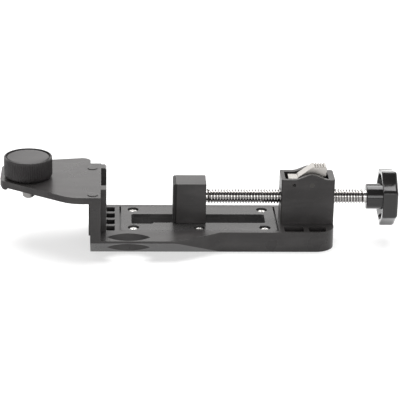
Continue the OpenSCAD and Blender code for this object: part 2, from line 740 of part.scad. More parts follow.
module lever_pin() {
    color("#b9bcc2") translate([lever_pin_x, cave_y1 + house_back_t - 0.85, pin_z]) rotate([90, 0, 0])
        cylinder(r = lever_pin_r, h = house_front + house_back - 0.9);
}

// Half nut: saddle over the spindle, lug up between the lever's side plates
module half_nut() {
    color("#b08d45") translate([0, lever_mid_y, 0]) difference() {
        union() {
            box(nut_x0, nut_x0 + nut_len, -nut_half, nut_half, nut_z0, nut_z1);
            box(nut_pin_x - lug_r, nut_pin_x + lug_r, -lug_half, lug_half, nut_z1 - eps, pin_z);
            translate([nut_pin_x, lug_half, pin_z]) rotate([90, 0, 0]) cylinder(r = lug_r, h = 2 * lug_half);
        }
        along_x(nut_x0 - cut, -lever_mid_y, spindle_z) cylinder(r = thread_r + nut_gap, h = nut_len + 2 * cut);
        translate([nut_pin_x, nut_half, pin_z]) rotate([90, 0, 0])
            cylinder(r = nut_pin_r + 0.02, h = 3 * nut_half);
    }
}

module nut_pin() {
    color("#b9bcc2") translate([nut_pin_x, lever_mid_y + pin_half, pin_z]) rotate([90, 0, 0])
        cylinder(r = nut_pin_r, h = 2 * pin_half);
}

// Lever outline from the front: foot, rising arm, thumb pad that curls down
module lever_top() {
    polygon(concat(
        [[foot_x0, foot_top - foot_t], [foot_x0, foot_top - 0.4], [foot_x0 + 0.4, foot_top],
        [arm_x0 - 0.6, foot_top], [arm_x0, foot_top + 1.2], [pad_x0 - 0.4, pad_top - 0.2]],
        [for (i = [0:teeth - 1]) let (x = pad_x0 + tooth_pitch * i)
            each [[x, pad_top], [x + tooth_pitch * 0.6, pad_top - tooth_deep]]],
        [[pad_x0 + teeth * tooth_pitch, pad_top], [pad_x1 - pad_nose, pad_top], [pad_x1 - 0.3, pad_top - 0.5],
        [pad_x1, pad_top - 1.4], [pad_x1, pad_top - pad_lip], [pad_x1 - pad_nose, pad_top - pad_lip],
        [pad_x1 - pad_nose, pad_top - lever_t], [pad_x0 + 0.7, pad_top - lever_t],
        [arm_x0 + 1.1, foot_top - 0.4], [arm_x0 + 0.7, foot_top - foot_t]]));
}

// Outline of one side plate of the lever, round both pins
module lever_cheek() {
    polygon([[foot_x0, foot_top - foot_t / 2], [foot_x0, pin_z - 1.6], [foot_x0 + 0.6, pin_z - 2.2],
        [cheek_x1 - 0.8, cheek_z0], [cheek_x1, cheek_z0 + 0.8], [cheek_x1, pad_top - pad_skirt],
        [pad_x1 - 0.9, pad_top - pad_skirt], [pad_x1 - 0.3, pad_top - pad_skirt + 0.6],
        [pad_x1 - 0.3, pad_top - lever_t / 2], [pad_x0, pad_top - lever_t / 2],
        [arm_x0 + 0.3, foot_top - foot_t / 2]]);
}

module release_lever() {
    color("#c8c9c8") difference() {
        union() {
            along_y(lever_y0, lever_y1) lever_top();
            along_y(lever_y0, lever_y0 + cheek_t) lever_cheek();
            along_y(lever_y1 - cheek_t, lever_y1) lever_cheek();
        }
        translate([lever_pin_x, lever_y1 + cut, pin_z]) rotate([90, 0, 0])
            cylinder(r = lever_pin_r + run_gap, h = lever_w + 2 * cut);
        for (dx = [-0.18, 0.18]) translate([nut_pin_x + dx, lever_y1 + cut, pin_z]) rotate([90, 0, 0])
            cylinder(r = nut_pin_r + 0.08, h = lever_w + 2 * cut);
        box(nut_pin_x - 0.18, nut_pin_x + 0.18, lever_y0 - cut, lever_y1 + cut,
            pin_z - nut_pin_r - 0.08, pin_z + nut_pin_r + 0.08);
    }
}

// The spring's centre line: a straight end, its curls, and a straight end
spring_rings = 8;
spring_steps = round(coil_turns * spring_rings);
spring_z0 = shelf_z1 + 0.05;
spring_path = concat(
    [[coil_r, 0, spring_z0], [coil_r, 0, spring_z0 + wire_d]],
    [for (i = [1:spring_steps - 1]) let (a = 360 * i / spring_rings)
        [coil_r * cos(a), coil_r * sin(a),
        spring_z0 + wire_d + (spring_top - spring_z0 - 2 * wire_d) * i / spring_steps]],
    let (a = 360 * spring_steps / spring_rings)
    [[coil_r * cos(a), coil_r * sin(a), spring_top - wire_d], [coil_r * cos(a), coil_r * sin(a), spring_top]]);
function unit(v) = v / norm(v);
function tangent(p, i) = i == 0 ? unit(p[1] - p[0]) : i == len(p) - 1 ? unit(p[i] - p[i - 1])
    : unit(unit(p[i + 1] - p[i]) + unit(p[i] - p[i - 1]));
spring_gap = min([for (i = [0:len(spring_path) - 1], j = [0:len(spring_path) - 1])
    if (j > i + spring_rings / 2) norm(spring_path[i] - spring_path[j])]) - wire_d;
echo(spring_gap = spring_gap);

module tube(path, r, sides) {
    n = len(path);
    pts = [for (i = [0:n - 1]) let (t = tangent(path, i), out = unit([path[i].x, path[i].y, 0]),
            u = unit(out - t * (out * t)), v = cross(t, u))
        each [for (k = [0:sides - 1]) path[i] + r * (cos(360 * k / sides) * u + sin(360 * k / sides) * v)]];
    polyhedron(points = pts, faces = concat(
        [for (k = [1:sides - 2]) [0, k, k + 1]],
        [for (i = [0:n - 2], k = [0:sides - 1]) let (a = i * sides + k, b = i * sides + (k + 1) % sides)
            each [[a, a + sides, b], [b, a + sides, b + sides]]],
        [for (k = [1:sides - 2]) [(n - 1) * sides, (n - 1) * sides + k + 1, (n - 1) * sides + k]]));
}

module lever_spring() {
    color("#b9bcc2") translate([spring_x, lever_mid_y, 0]) tube(spring_path, wire_d / 2, 6);
}

module thumb_washer() {
    color("#b9bcc2") translate([-thumb_x, 0, washer_z0]) difference() {
        cylinder(r = thumb_washer_r, h = thumb_washer_t);
        translate([0, 0, -cut]) cylinder(r = thumb_hole_r, h = thumb_washer_t + 2 * cut);
    }
}

module thumb_retaining_clip() {
    color("#7d8086") translate([-thumb_x, 0, clip_z0]) difference() {
        cylinder(r = clip_r, h = clip_t);
        translate([0, 0, -cut]) cylinder(r = groove_r + 0.05, h = clip_t + 2 * cut);
    }
}

// Knob with fine upright ribs, chamfered edges and a raised rim round its flat top
module thumb_knob() {
    r = thumb_knob_d / 2;
    h = thumb_knob_h;
    color("#232325") translate([-thumb_x, 0, washer_z1]) difference() {
        intersection() {
            linear_extrude(h) polygon([for (i = [0:2 * thumb_ribs - 1]) let (a = 180 * i / thumb_ribs)
                (r - (i % 2) * thumb_knurl) * [cos(a), sin(a)]]);
            rotate_extrude($fn = 96) polygon([[0, 0], [r - 1, 0], [r + 0.1, 1.1], [r + 0.1, h - 0.6],
                [r - 0.5, h], [0, h]]);
        }
        translate([0, 0, h - 0.3]) cylinder(r = r - 1.3, h = cut);
        translate([0, 0, -cut]) cylinder(r = thumb_r + 0.02, h = h - knob_roof + cut);
    }
}

module thumb_screw() {
    top = washer_z1 + thumb_knob_h - knob_roof - 0.1;
    color("#c4c7cd") translate([-thumb_x, 0, 0]) rotate_extrude($fn = 64) polygon([
        [0, thumb_tip_z], [thumb_r - 0.8, thumb_tip_z], [thumb_r, thumb_tip_z + 0.8],
        [thumb_r, clip_z0 - 0.05], [groove_r, clip_z0 - 0.05], [groove_r, clip_z0 + clip_t + 0.05],
        [thumb_r, clip_z0 + clip_t + 0.05], [thumb_r, top], [0, top]]);
}

base_frame();
slide_plate();
slide_plate_screws();
nut_housing();
housing_screws();
spindle_bush_left();
spindle_bush_right();
lever_pin();
lever_spring();
thumb_washer();
sliding_jaw();
jaw_pad();
jaw_shoe();
jaw_shoe_screws();
thrust_washer();
spindle();
spindle_retaining_ring();
hand_knob();
knob_roll_pin();
release_lever();
half_nut();
nut_pin();
thumb_retaining_clip();
thumb_knob();
thumb_screw();
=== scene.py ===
import json
import math
import bmesh
import bpy
from mathutils import Matrix, Vector

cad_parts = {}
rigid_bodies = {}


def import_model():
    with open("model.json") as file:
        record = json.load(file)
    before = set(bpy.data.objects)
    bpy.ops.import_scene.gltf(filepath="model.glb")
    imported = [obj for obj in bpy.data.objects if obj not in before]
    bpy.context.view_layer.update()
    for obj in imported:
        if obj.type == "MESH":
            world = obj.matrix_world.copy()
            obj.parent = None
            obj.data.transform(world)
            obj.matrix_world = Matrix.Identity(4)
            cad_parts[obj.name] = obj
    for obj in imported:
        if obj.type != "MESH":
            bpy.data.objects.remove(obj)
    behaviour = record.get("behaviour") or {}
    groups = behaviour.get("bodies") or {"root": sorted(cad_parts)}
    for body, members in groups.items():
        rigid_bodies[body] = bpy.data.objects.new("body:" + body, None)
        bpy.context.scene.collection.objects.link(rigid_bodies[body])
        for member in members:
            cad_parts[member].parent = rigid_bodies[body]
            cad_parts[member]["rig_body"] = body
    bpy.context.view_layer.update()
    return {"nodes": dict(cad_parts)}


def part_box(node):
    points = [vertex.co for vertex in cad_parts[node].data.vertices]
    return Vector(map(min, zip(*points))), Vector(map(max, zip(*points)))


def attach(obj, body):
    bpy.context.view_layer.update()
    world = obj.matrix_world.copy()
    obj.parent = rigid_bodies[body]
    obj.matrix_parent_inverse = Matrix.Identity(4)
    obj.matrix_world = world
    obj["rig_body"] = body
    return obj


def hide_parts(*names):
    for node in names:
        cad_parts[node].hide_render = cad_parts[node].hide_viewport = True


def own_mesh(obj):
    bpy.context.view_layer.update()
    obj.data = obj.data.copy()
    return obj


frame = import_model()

NODES = frame["nodes"]
MM = 0.001
TAU = 2 * math.pi
# Radius that closes the end of a turned shape, in millimetres
POLE = 0.01


def ends(node, axis):
    """Where a CAD node begins and ends along an axis, in millimetres."""
    low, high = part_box(node)
    return round(low[axis] / MM, 3), round(high[axis] / MM, 3)


def middle(node, axis):
    """The middle of a CAD node along an axis, in millimetres."""
    return round(sum(ends(node, axis)) / 2, 3)


def clamp(*values):
    """The least of the values, kept between 0 and 1."""
    return max(0.0, min(1.0, *values))


# Height of the spindle's axis, in millimetres
AXIS_Z = middle("spindle_retaining_ring", 2)

# Materials
DARK, LIGHT = (0, 0, 0), (1, 1, 1)


def feed(tree, value, socket):
    """Plugs another node's output into a socket, or sets the socket's value."""
    if isinstance(value, bpy.types.NodeSocket):
        tree.links.new(value, socket)
    else:
        socket.default_value = value


class Tree:
    """A short way to write a material's nodes."""

    def __init__(self, name):
        self.mat = bpy.data.materials.new(name)
        self.mat.use_nodes = True
        self.t = self.mat.node_tree
        self.bsdf = self.t.nodes["Principled BSDF"]
        self.coord = self.t.nodes.new("ShaderNodeTexCoord").outputs["Object"]

    def node(self, kind, **sockets):
        n = self.t.nodes.new(kind)
        for name, value in sockets.items():
            feed(self.t, value, n.inputs[name])
        return n

    def noise(self, scale, detail=3.0, rough=0.5, stretch=None):
        place = self.coord
        if stretch:
            place = self.node("ShaderNodeMapping", Vector=place, Scale=stretch).outputs[0]
        n = self.node("ShaderNodeTexNoise", Vector=place, Scale=scale, Detail=detail, Roughness=rough)
        return n.outputs["Fac"]

    def ramp(self, fac, first, last):
        """Colour that runs from first to last, each given as (position, colour)."""
        n = self.t.nodes.new("ShaderNodeValToRGB")
        feed(self.t, fac, n.inputs[0])
        for stop, (position, colour) in zip(n.color_ramp.elements, (first, last)):
            stop.position = position
            stop.color = (*colour, 1)
        return n.outputs[0]

    def rise(self, fac, a, b):
        """0 below a, 1 above b."""
        return self.ramp(fac, (a, DARK), (b, LIGHT))

    def fall(self, fac, a, b):
        """1 below a, 0 above b."""
        return self.ramp(fac, (a, LIGHT), (b, DARK))

    def math(self, op, a, b=None):
        n = self.t.nodes.new("ShaderNodeMath")
        n.operation = op
        feed(self.t, a, n.inputs[0])
        if b is not None:
            feed(self.t, b, n.inputs[1])
        return n.outputs[0]

    def times(self, a, b):
        return self.math("MULTIPLY", a, b)

    def mix(self, fac, a, b):
        n = self.t.nodes.new("ShaderNodeMix")
        n.data_type = "RGBA"
        feed(self.t, fac, n.inputs[0])
        for socket, colour in ((n.inputs[6], a), (n.inputs[7], b)):
            solid = not isinstance(colour, bpy.types.NodeSocket)
            feed(self.t, (*colour, 1) if solid else colour, socket)
        return n.outputs[2]

    def edge(self, radius):
        """1 along worn edges, 0 on flats."""
        worn = self.node("ShaderNodeBevel", Radius=radius)
        worn.samples = 6
        flat = self.t.nodes.new("ShaderNodeNewGeometry").outputs["Normal"]
        dot = self.t.nodes.new("ShaderNodeVectorMath")
        dot.operation = "DOT_PRODUCT"
        feed(self.t, worn.outputs[0], dot.inputs[0])
        feed(self.t, flat, dot.inputs[1])
        return self.rise(self.math("SUBTRACT", 1.0, dot.outputs["Value"]), 0.02, 0.18)

    def bump(self, height, strength, distance):
        n = self.node("ShaderNodeBump", Height=height, Strength=strength, Distance=distance)
        feed(self.t, n.outputs[0], self.bsdf.inputs["Normal"])

    def out(self, **sockets):
        for name, value in sockets.items():
            feed(self.t, value, self.bsdf.inputs[name.replace("_", " ")])
        return self.mat


def plastic(name, base, lift, rough=0.42, spread=0.12, grain=1500, grain_h=0.35, wear=0.5,
            fibre=0.25, shine=0.25):
    """Moulded plastic: spark-eroded grain, faint flow marks, rubbed edges."""
    m = Tree(name)
    cloud = m.noise(70, detail=4)
    flow = m.noise(160, stretch=(0.25, 1.0, 1.0))
    fine = m.noise(grain, detail=2, rough=0.6)
    speck = m.noise(grain * 0.55, detail=5, rough=0.75)
    col = m.mix(m.rise(cloud, 0.35, 0.68), base, [c * 1.35 for c in base])
    col = m.mix(m.times(m.rise(flow, 0.45, 0.75), fibre), col, lift)
    col = m.mix(m.times(m.rise(speck, 0.6, 0.72), 0.35), col, lift)
    rubbed = m.times(m.ramp(m.noise(420), (0.3, (0.2, 0.2, 0.2)), (0.7, LIGHT)), wear)
    col = m.mix(m.times(m.edge(0.0004), rubbed), col, lift)
    dull = m.math("ADD", m.times(m.rise(cloud, 0.3, 0.7), spread), rough)
    m.bump(m.math("ADD", fine, m.times(speck, 0.6)), grain_h, 0.00006)
    return m.out(Base_Color=col, Roughness=dull, Specular_IOR_Level=shine)


# Where shade is painted into the thread's roots: centimetres from the axis, and metres along it at both ends
ROOT_SHADE_R = (0.322, 0.385)
ROOT_SHADE_X0, ROOT_SHADE_X1 = (0.0521, 0.0523), (0.1344, 0.1348)


def root_shade_mask(m):
    """1 in the roots of the spindle's thread, where a darker colour stands in for shade."""
    place = m.node("ShaderNodeSeparateXYZ", Vector=m.coord).outputs
    z = m.math("SUBTRACT", place[2], AXIS_Z * MM)
    radius = m.math("SQRT", m.math("ADD", m.times(place[1], place[1]), m.times(z, z)))
    low = m.fall(m.times(radius, 100.0), *ROOT_SHADE_R)
    low = m.times(low, m.rise(place[0], *ROOT_SHADE_X0))
    return m.times(low, m.fall(place[0], *ROOT_SHADE_X1))


def metal(name, base, dark, rough=0.22, spread=0.12, scratch=0.25, stretch=(1, 1, 1), roots=None):
    """Plated metal: hairlines and uneven polish; roots is the colour of shade painted into a thread's roots.
    """
    m = Tree(name)
    lines = m.noise(900, detail=4, rough=0.65, stretch=stretch)
    cloud = m.noise(130, detail=4)
    col = m.mix(m.times(m.rise(cloud, 0.5, 0.8), 0.35), base, dark)
    # Painted shade: the thread's roots darkened in colour
    if roots:
        col = m.mix(root_shade_mask(m), col, roots)
    dull = m.math("ADD", m.times(lines, spread), rough)
    m.bump(lines, scratch, 0.00003)
    return m.out(Base_Color=col, Roughness=dull, Metallic=1.0)


# Colour of the black mouldings where they are rubbed or specked
LIFT = (0.085, 0.082, 0.08)
black = plastic("black_moulding", (0.022, 0.0205, 0.0205), LIFT, rough=0.25, spread=0.08, grain_h=0.25)
house = plastic("housing_moulding", (0.018, 0.0165, 0.0165), LIFT, rough=0.30, spread=0.08,
                wear=0.45, grain_h=0.25)
jaw_black = plastic("jaw_moulding", (0.022, 0.0205, 0.0205), LIFT, rough=0.28, wear=0.4, grain_h=0.3)
plate_dark = plastic("slide_plate_finish", (0.026, 0.025, 0.025), (0.1, 0.098, 0.098), rough=0.22,
                     spread=0.08, grain=2200, grain_h=0.12, wear=0.55, fibre=0.15)
knurl_black = plastic("knurled_black", (0.015, 0.0135, 0.014), (0.06, 0.056, 0.056), rough=0.28,
                      grain_h=0.12)
pad_black = plastic("pad_rubber", (0.008, 0.0075, 0.0075), (0.04, 0.038, 0.038), rough=0.5,
                    grain=900, grain_h=0.5, wear=0.2)
gloss = plastic("glossy_black", (0.006, 0.0055, 0.0055), (0.03, 0.029, 0.029), rough=0.08,
                spread=0.04, grain=500, grain_h=0.02, wear=0.1, fibre=0.04, shine=0.4)
gloss.node_tree.nodes["Principled BSDF"].inputs["Coat Weight"].default_value = 0.2
gloss.node_tree.nodes["Principled BSDF"].inputs["Coat Roughness"].default_value = 0.04
# The thread's roots get painted shade, a darker colour where the light is shut out
zinc_thread = metal("bright_zinc_thread", (0.60, 0.59, 0.58), (0.30, 0.29, 0.28), rough=0.12,
                    stretch=(0.3, 1, 1), roots=(0.20, 0.19, 0.185))
screw_zinc = metal("screw_zinc", (0.70, 0.69, 0.67), (0.35, 0.34, 0.33), rough=0.2)
nickel = metal("satin_nickel", (0.38, 0.365, 0.345), (0.22, 0.21, 0.20), rough=0.30, scratch=0.35,
               stretch=(0.2, 1, 1))
dark_steel = metal("dark_pin", (0.06, 0.058, 0.055), (0.03, 0.03, 0.03), rough=0.5)
steel = metal("plain_steel", (0.42, 0.41, 0.40), (0.2, 0.2, 0.2), rough=0.3)
dull_steel = metal("dull_steel", (0.22, 0.215, 0.21), (0.12, 0.12, 0.12), rough=0.3)
brass = metal("turned_brass", (0.60, 0.44, 0.22), (0.35, 0.25, 0.12), rough=0.3, stretch=(1, 0.2, 1))

# Helpers
# Seams closer than these, in metres, are closed in a CAD copy and in a mesh made here
CAD_SEAM, OWN_SEAM = 2e-6, 1e-7
# Sharpest bend that still counts as one smooth face of a CAD copy, in degrees
EDGE_ANGLE = 32


def add(name, me, mat, body, node, smooth=None):
    """A piece that rides on a body and stands for a CAD node."""
    ob = bpy.data.objects.new(name, me)
    bpy.context.scene.collection.objects.link(ob)
    me.materials.clear()
    me.materials.append(mat)
    if smooth is not None:
        shade(me, smooth)
    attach(ob, body)
    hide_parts(node)
    return ob


def shade(me, angle):
    """Smooth shading, with edges sharp past an angle in degrees."""
    me.shade_smooth()
    me.set_sharp_from_angle(angle=math.radians(angle))


def bevel(ob, width, angle):
    """Rounds the edges that bend by more than an angle in degrees."""
    mod = ob.modifiers.new("edges", "BEVEL")
    mod.width = width
    mod.segments = 2
    mod.limit_method = "ANGLE"
    mod.angle_limit = math.radians(angle)
    return mod


def body_of(node):
    return NODES[node]["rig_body"]


def close_seams(bm, gap):
    """Joins points that lie closer than gap, in metres."""
    bmesh.ops.remove_doubles(bm, verts=bm.verts, dist=gap)
    bmesh.ops.dissolve_degenerate(bm, dist=gap, edges=bm.edges)


def rounded(node, mat, width):
    """The CAD node with its edges rounded as the real piece's are."""
    me = NODES[node].data.copy()
    bm = bmesh.new()
    bm.from_mesh(me)
    close_seams(bm, CAD_SEAM)
    bm.to_mesh(me)
    bm.free()
    ob = add(node + "_detail", me, mat, body_of(node), node)
    mod = bevel(ob, width, EDGE_ANGLE)
    mod.use_clamp_overlap = True
    mod.harden_normals = False
    mod.miter_outer = "MITER_ARC"
    shade(me, EDGE_ANGLE)
    ob.modifiers.new("shade", "WEIGHTED_NORMAL").keep_sharp = True


def ring_faces(rows, cols):
    """Faces between closed rings of points that follow one another."""
    return [(i * cols + j, i * cols + (j + 1) % cols, (i + 1) * cols + (j + 1) % cols, (i + 1) * cols + j)
            for i in range(rows - 1) for j in range(cols)]


def lathe(profile, cols, warp=None):
    """Shape turned about X: profile is [(x, r)], warp(x, r, a) gives the radius at angle a."""
    verts = []
    for x, r in profile:
        for j in range(cols):
            a = TAU * j / cols
            q = warp(x, r, a) if warp else r
            verts.append((x, q * math.cos(a), q * math.sin(a)))
    last = (len(profile) - 1) * cols
    caps = [tuple(range(cols - 1, -1, -1)), tuple(range(last, last + cols))]
    return verts, ring_faces(len(profile), cols) + caps


def arc(x, r, radius, a0, a1, parts):
    """Points of a profile's round corner about (x, r), between two angles in degrees from X."""
    angles = [math.radians(a0 + (a1 - a0) * i / parts) for i in range(parts + 1)]
    return [(x + radius * math.cos(a), r + radius * math.sin(a)) for a in angles]


def slab(outline, y0, y1):
    """Outline in X and Z drawn out along Y."""
    n = len(outline)
    verts = [(x, y, z) for y in (y0, y1) for x, z in outline]
    faces = [tuple(range(n)), tuple(range(2 * n - 1, n - 1, -1))]
    faces += [(i, (i + 1) % n, n + (i + 1) % n, n + i) for i in range(n)]
    return verts, faces


def mesh(name, *parts, place=None):
    """One mesh in metres from shapes in millimetres."""
    verts, faces = [], []
    for part_verts, part_faces in parts:
        faces += [tuple(i + len(verts) for i in face) for face in part_faces]
        verts += part_verts
    me = bpy.data.meshes.new(name)
    me.from_pydata([tuple(c * MM for c in v) for v in verts], [], faces)
    bm = bmesh.new()
    bm.from_mesh(me)
    close_seams(bm, OWN_SEAM)
    bmesh.ops.recalc_face_normals(bm, faces=bm.faces)
    bm.to_mesh(me)
    bm.free()
    if place:
        me.transform(place)
    return me


def at(x, y, z):
    return Matrix.Translation((x * MM, y * MM, z * MM))


def stand(x, y, z):
    """A shape turned about X set upright, its +X up."""
    return at(x, y, z) @ Matrix.Rotation(-math.pi / 2, 4, "Y")


# Spindle, in millimetres: journal in the jaw, thread, collar, and stem in the hand knob
KNOB_X0, KNOB_X1 = ends("hand_knob", 0)
TIP_X, STEM_X1 = 38.7, ends("spindle", 0)[1]
GROOVE_X0, GROOVE_X1 = 41.0, 41.9
THREAD_X0, THREAD_X1 = 52.2, 135.8
PITCH, CREST_R, ROOT_R = 1.5, 4.0, 3.15
SHAFT_R, GROOVE_R, COLLAR_R = 3.0, 2.4, 3.55
TIP_BEVEL, STEM_BEVEL, SHOULDER = 0.4, 0.3, 0.05
# The core under the thread's skin
CORE_R = ROOT_R - 0.01


def thread_skin(x0, x1, cols):
    """Right-hand trapezoid thread: four marks a turn, running out over a turn at both ends."""
    marks = [(0.06, ROOT_R), (0.32, CREST_R), (0.52, CREST_R), (0.78, ROOT_R)]
    turns = int((x1 - x0) / PITCH) + 2
    rows = [(t + m, r) for t in range(turns) for m, r in marks]
    verts, faces = [], []
    for m, r in rows:
        for j in range(cols):
            a = TAU * j / cols
            x = x0 + PITCH * (m + j / cols - 1)
            height = clamp((x - x0) / PITCH, (x1 - x) / PITCH)
            q = ROOT_R + (r - ROOT_R) * height
            verts.append((max(x0, min(x1, x)), q * math.cos(a), q * math.sin(a)))
    turn = len(marks)
    for k in range(len(rows) - 1):
        here, after = k * cols, (k + 1) * cols
        faces += [(here + j, here + j + 1, after + j + 1, after + j) for j in range(cols - 1)]
        if k + turn + 1 < len(rows):
            faces.append((after - 1, here + turn * cols, after + turn * cols, after + cols - 1))
    return verts, faces


core = [(TIP_X, POLE), (TIP_X, SHAFT_R - TIP_BEVEL), (TIP_X + TIP_BEVEL, SHAFT_R),
        (GROOVE_X0, SHAFT_R), (GROOVE_X0, GROOVE_R), (GROOVE_X1, GROOVE_R), (GROOVE_X1, SHAFT_R),
        (THREAD_X0 - SHOULDER, SHAFT_R), (THREAD_X0, CORE_R),
        (THREAD_X1, CORE_R), (THREAD_X1 + SHOULDER, COLLAR_R),
        (KNOB_X0, COLLAR_R), (KNOB_X0 + SHOULDER, SHAFT_R),
        (STEM_X1 - STEM_BEVEL, SHAFT_R), (STEM_X1, SHAFT_R - STEM_BEVEL), (STEM_X1, POLE)]
add("spindle_threaded",
    mesh("spindle", thread_skin(THREAD_X0, THREAD_X1, 48), lathe(core, 48), place=at(0, 0, AXIS_Z)),
    zinc_thread, "screw", "spindle", smooth=35)

# Hand knob, in millimetres
HUB_R, WHEEL_R, WHEEL_X0 = 6.7, 15.5, 143.9
# The hollow in the wheel's back: its depth and the radius of its wall
BACK_DEEP, BACK_R = 4.5, 12.1
BACK_ROUND, FRONT_ROUND, DOME_H = 0.7, 1.8, 1.0
# Sides of the wheel: each is part of a circle that lies outside it
SIDES = 7
SIDE_R, SIDE_FROM = 60, 73.8
FIRST_RIDGE = math.radians(26)
# Roundness of the ridges, how far out they may reach, and where the sides fade in
RIDGE_SHARP, RIDGE_R = 2.2, WHEEL_R + 0.25
FADE_R, FADE_W = 12.6, 1.2


def soft_min(a, b, sharp):
    """The lesser of two values, with a round change between them."""
    return -math.log(math.exp(-sharp * a) + math.exp(-sharp * b)) / sharp


def lobes(x, r, a):
    """Gently hollow sides with rounded ridges between them, gone towards the hub."""
    step = TAU / SIDES
    d = (math.atan2(math.sin(a), -math.cos(a)) - FIRST_RIDGE) % step - step / 2
    side = SIDE_FROM * math.cos(d) - math.sqrt(SIDE_R ** 2 - (SIDE_FROM * math.sin(d)) ** 2)
    side = soft_min(side, RIDGE_R, RIDGE_SHARP)
    return r - (WHEEL_R - side) * clamp((r - FADE_R) / FADE_W)


def knob_profile():
    """From the hub's end over the hollow back and the rim to the domed face."""
    floor_x = WHEEL_X0 + BACK_DEEP
    face_x, face_r = KNOB_X1 - DOME_H, WHEEL_R - FRONT_ROUND
    hub = [(KNOB_X0, POLE), (KNOB_X0, HUB_R - 0.6), (KNOB_X0 + 0.1, HUB_R - 0.3),
           (KNOB_X0 + 0.35, HUB_R - 0.1), (KNOB_X0 + 0.7, HUB_R)]
    hollow = [(floor_x - 0.5, HUB_R), (floor_x - 0.1, HUB_R + 0.2), (floor_x, HUB_R + 0.6),
              (floor_x, BACK_R - 0.7), (floor_x - 0.1, BACK_R - 0.3), (floor_x - 0.5, BACK_R - 0.1),
              (WHEEL_X0 + 0.5, BACK_R), (WHEEL_X0 + 0.1, BACK_R + 0.1), (WHEEL_X0, BACK_R + 0.4)]
    rim = [(WHEEL_X0, WHEEL_R - 1.1)]
    rim += arc(WHEEL_X0 + BACK_ROUND, WHEEL_R - BACK_ROUND, BACK_ROUND, 180, 90, 4)
    rim += [(WHEEL_X0 + 2.6, WHEEL_R), (WHEEL_X0 + 4.6, WHEEL_R)]
    rim += arc(face_x - FRONT_ROUND, face_r, FRONT_ROUND, 90, 0, 6)
    dome = [(face_x + DOME_H * math.sin(math.radians(15 * t)), face_r * (1 - t / 6) + POLE)
            for t in range(1, 7)]
    return hub + hollow + rim + dome


add("hand_knob_lobed",
    mesh("hand_knob", lathe(knob_profile(), SIDES * 30, lobes), place=at(0, 0, AXIS_Z)),
    gloss, "screw", "hand_knob", smooth=40)

# Thumb knob, in millimetres
THUMB_R, RIBS, RIB_DEEP = 12.55, 73, 0.42
THUMB_Z0, THUMB_Z1 = ends("thumb_knob", 2)
THUMB_H = round(THUMB_Z1 - THUMB_Z0, 3)


def knurl(x, r, a):
    """Upright ribs round the side, gone at its foot and under its rim."""
    w = clamp((r - THUMB_R + 0.95) / 0.5) * clamp((x - 0.3) / 0.9, (THUMB_H - 0.45 - x) / 0.4)
    s = abs(math.sin(a * RIBS / 2))
    return r - RIB_DEEP * w * (1 - s) ** 1.3


def thumb_profile():
    """Foot, ribbed side, rim, the groove inside it, and the flat disc."""
    r, h = THUMB_R, THUMB_H
    foot = [(0, 3.6), (0, r - 1.35), (0.15, r - 0.95), (0.5, r - 0.55), (1.0, r - 0.15)]
    side = [(x, r) for x in (1.4, 3, 5, 7, 9.5, h - 0.6)]
    rim = [(h - 0.3, r - 0.1), (h - 0.15, r - 0.25), (h - 0.02, r - 0.4), (h, r - 0.55), (h, r - 0.7),
           (h - 0.1, r - 0.85)]
    groove = [(h - 1.0, r - 0.95), (h - 1.1, r - 1.05), (h - 1.1, r - 1.6), (h - 1.0, r - 1.7)]
    disc = [(h - 0.45, r - 1.75), (h - 0.32, r - 1.9), (h - 0.3, r - 2.15), (h - 0.3, 8), (h - 0.3, 2 * POLE)]
    return foot + side + rim + groove + disc


add("thumb_knob_knurled",
    mesh("thumb_knob", lathe(thumb_profile(), RIBS * 6, knurl),
         place=stand(middle("thumb_screw", 0), 0, THUMB_Z0)),
    knurl_black, "thumb", "thumb_knob", smooth=42)

# Release lever, in millimetres: the folded plate with its serrated pad, and its two side plates
LEVER_X0, LEVER_X1 = ends("release_lever", 0)
LEVER_Y0, LEVER_Y1 = ends("release_lever", 1)
TOP = ends("release_lever", 2)[1]
PIN_X, PIN_Z = middle("lever_pin", 0), middle("lever_pin", 2)
NUT_X = middle("nut_pin", 0)
FOOT_Z, FOOT_T, ARM_X = 35.0, 0.8, 100.0
PAD_X, PAD_T, PAD_LIP = PIN_X + 0.8, 1.9, 3.2
TEETH, TOOTH_PITCH, TOOTH_DEEP = 4, 1.4, 0.8
CHEEK_X1, CHEEK_T, SKIRT_Z = PIN_X + 2.6, 1.4, TOP - 5.2
HOLE_SIDES = 32


def lever_fold():
    """Foot, rising arm, grooved pad, and the nose that curls down."""
    x0, x1 = LEVER_X0, LEVER_X1
    line = [(x0, FOOT_Z - FOOT_T), (x0, FOOT_Z - 0.4), (x0 + 0.15, FOOT_Z - 0.1), (x0 + 0.4, FOOT_Z),
            (ARM_X - 0.6, FOOT_Z), (ARM_X - 0.1, FOOT_Z + 0.2), (ARM_X + 0.4, FOOT_Z + 0.95),
            (PAD_X - 0.8, TOP - 0.45), (PAD_X - 0.4, TOP - 0.15)]
    for i in range(TEETH):
        x = PAD_X + TOOTH_PITCH * i
        line += [(x + 0.02, TOP - 0.1), (x + 0.12, TOP), (x + 0.42, TOP), (x + 0.55, TOP - 0.12),
                 (x + 0.9, TOP - TOOTH_DEEP), (x + 1.02, TOP - TOOTH_DEEP)]
    line += [(PAD_X + TOOTH_PITCH * TEETH + 0.02, TOP - 0.1), (x1 - 1.3, TOP), (x1 - 1.15, TOP),
             (x1 - 0.7, TOP - 0.15), (x1 - 0.3, TOP - 0.5), (x1 - 0.05, TOP - 0.95), (x1, TOP - 1.4),
             (x1, TOP - PAD_LIP + 0.1), (x1 - 0.1, TOP - PAD_LIP), (x1 - 1.1, TOP - PAD_LIP),
             (x1 - 1.2, TOP - PAD_LIP + 0.1), (x1 - 1.2, TOP - PAD_T - 0.2), (x1 - 1.4, TOP - PAD_T)]
    return line + [(PAD_X + 0.7, TOP - PAD_T), (ARM_X + 1.4, FOOT_Z - 0.4), (ARM_X + 1.0, FOOT_Z - FOOT_T)]


